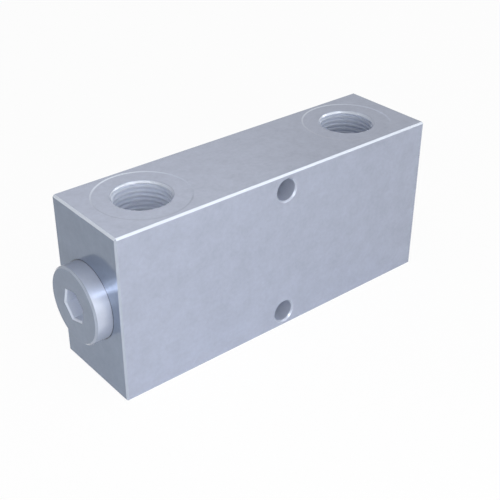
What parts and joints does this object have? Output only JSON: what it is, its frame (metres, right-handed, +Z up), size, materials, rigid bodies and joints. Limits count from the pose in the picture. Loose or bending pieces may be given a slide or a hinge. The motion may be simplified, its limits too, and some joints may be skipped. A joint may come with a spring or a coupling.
{
  "type": "dual pilot non-return valve",
  "caption": "Steel line-mounting block with threaded ports on top and below, a screw plug at each end, and a pilot piston between two spring-loaded poppets.",
  "frame": {"origin": "centre of the block's underside, on the surface that it stands on", "axes": "+X along the main bore towards the right-hand plug, +Y to the back, +Z up through the cylinder ports"},
  "size_m": [0.12, 0.03, 0.05],
  "materials": {
    "zinc_plated_steel": "bright zinc plate on milled steel, satin",
    "hardened_steel": "hardened and ground",
    "spring_steel": "drawn spring wire",
    "nitrile_rubber": "black, matt",
    "ptfe": "white, waxy"
  },
  "bodies": {
    "valve_body": {"valve_block": "zinc_plated_steel", "left_seat": "hardened_steel", "left_seat_o_ring": "nitrile_rubber", "left_seat_backup_ring": "ptfe", "left_seat_snap_ring": "spring_steel", "left_spring": "spring_steel", "left_plug": "zinc_plated_steel", "left_plug_o_ring": "nitrile_rubber", "right_seat": "hardened_steel", "right_seat_o_ring": "nitrile_rubber", "right_seat_backup_ring": "ptfe", "right_seat_snap_ring": "spring_steel", "right_spring": "spring_steel", "right_plug": "zinc_plated_steel", "right_plug_o_ring": "nitrile_rubber"},
    "pilot_piston": {"pilot_piston": "hardened_steel", "piston_o_ring": "nitrile_rubber", "left_piston_backup_ring": "ptfe", "right_piston_backup_ring": "ptfe"},
    "left_poppet": {"left_poppet": "hardened_steel"},
    "right_poppet": {"right_poppet": "hardened_steel"}
  },
  "joints": [
    {"name": "pilot_piston_slide", "type": "slide", "parent": "valve_body", "child": "pilot_piston", "axis": [1, 0, 0], "range_m": [-0.00145, 0.00145]},
    {"name": "left_poppet_lift", "type": "slide", "parent": "valve_body", "child": "left_poppet", "axis": [-1, 0, 0], "range_m": [0, 0.003], "stiffness_N_per_m": 2700, "springref_m": -0.0019, "deforming": ["left_spring"]},
    {"name": "right_poppet_lift", "type": "slide", "parent": "valve_body", "child": "right_poppet", "axis": [1, 0, 0], "range_m": [0, 0.003], "stiffness_N_per_m": 2700, "springref_m": -0.0019, "deforming": ["right_spring"]}
  ]
}
